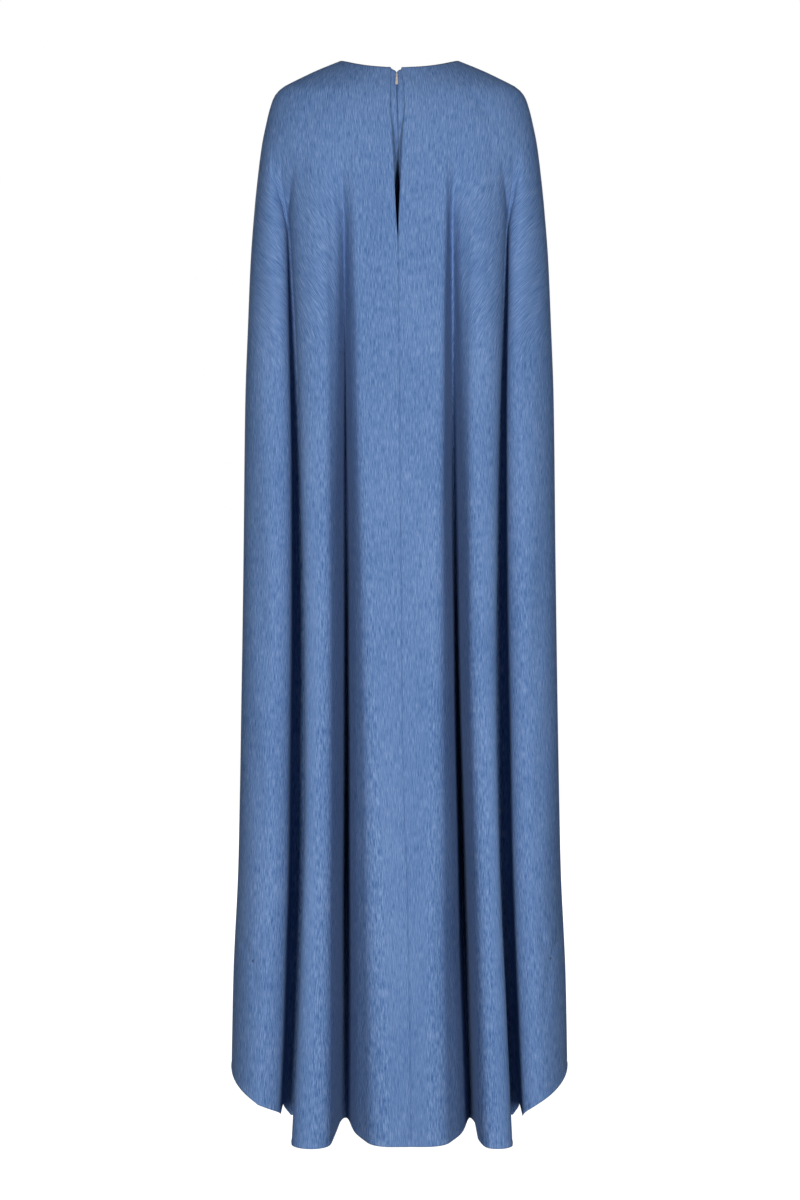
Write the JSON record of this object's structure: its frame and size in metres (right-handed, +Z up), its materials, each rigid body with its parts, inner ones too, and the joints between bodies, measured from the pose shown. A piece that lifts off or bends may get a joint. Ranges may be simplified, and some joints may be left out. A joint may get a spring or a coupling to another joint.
{
  "type": "kaftan gown",
  "caption": "Floor-length kaftan gown in plain blue cloth, hollow and filled out as worn, with deep long folds, wings with hand openings, and a back slit over a concealed zip.",
  "frame": {"origin": "middle of the neck opening, level with the two points where the neckline meets the shoulder seams, where the wearer's shoulders hold the gown", "axes": "+Z up, the back of the gown faces -Y, the front +Y, +X to the right as seen from behind"},
  "size_m": [0.5096, 0.3548, 1.6008],
  "materials": {
    "gown_cloth": "matte heathered blue twill with a soft sheen",
    "inner_cloth": "the same matte blue cloth",
    "zip_metal": "smooth pale silver metal"
  },
  "bodies": {
    "gown": {"back_left": "gown_cloth", "back_right": "gown_cloth", "front": "gown_cloth", "inner_back_left": "inner_cloth", "inner_back_right": "inner_cloth", "zip_slider": "zip_metal"},
    "pull": {"zip_pull": "zip_metal"}
  },
  "joints": [
    {"name": "pull_hinge", "type": "hinge", "parent": "gown", "child": "pull", "pos_m": [-0.00408, -0.08056, -0.04065], "axis": [-1, 0, 0], "range_deg": [0, 140]}
  ]
}
